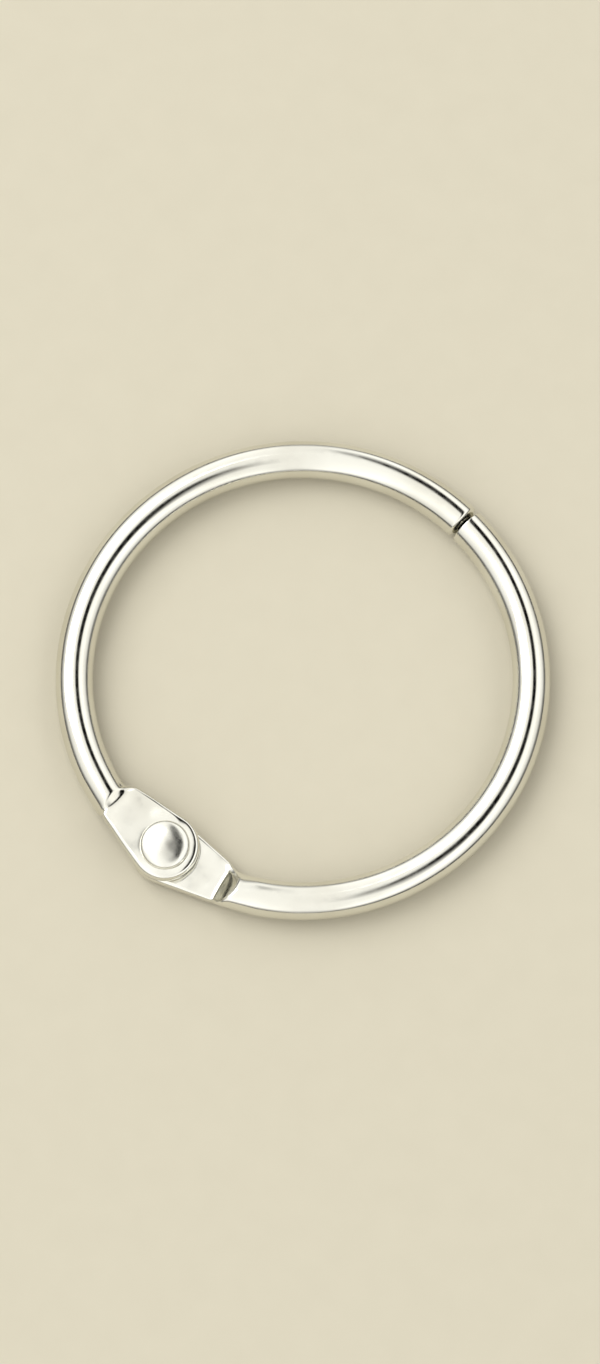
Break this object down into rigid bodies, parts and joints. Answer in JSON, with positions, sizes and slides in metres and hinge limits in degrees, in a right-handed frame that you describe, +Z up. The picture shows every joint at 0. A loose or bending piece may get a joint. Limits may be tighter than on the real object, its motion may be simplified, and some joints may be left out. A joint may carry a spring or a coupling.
{
  "type": "binder ring",
  "caption": "Hinged loose-leaf binder ring of round nickel-plated wire: half rings riveted through flattened eyes, closed by a peg in a socket.",
  "frame": {"origin": "centre of the closed ring's loop, on the plane that the ring lies on", "axes": "+Z up along the hinge axis, +Y from the hinge towards the clasp, +X towards the socket half"},
  "size_m": [0.03, 0.0305, 0.0026],
  "materials": {
    "nickel_plated_wire": "bright nickel plate on drawn steel wire",
    "nickel_plated_rivet": "bright nickel plate on a headed steel rivet"
  },
  "bodies": {
    "socket_side": {"socket_half": "nickel_plated_wire", "hinge_rivet": "nickel_plated_rivet"},
    "peg_side": {"peg_half": "nickel_plated_wire"}
  },
  "joints": [
    {"name": "ring_hinge", "type": "hinge", "parent": "socket_side", "child": "peg_side", "pos_m": [0, -0.01345, 0.00115], "axis": [0, 0, 1], "range_deg": [0, 150]}
  ]
}
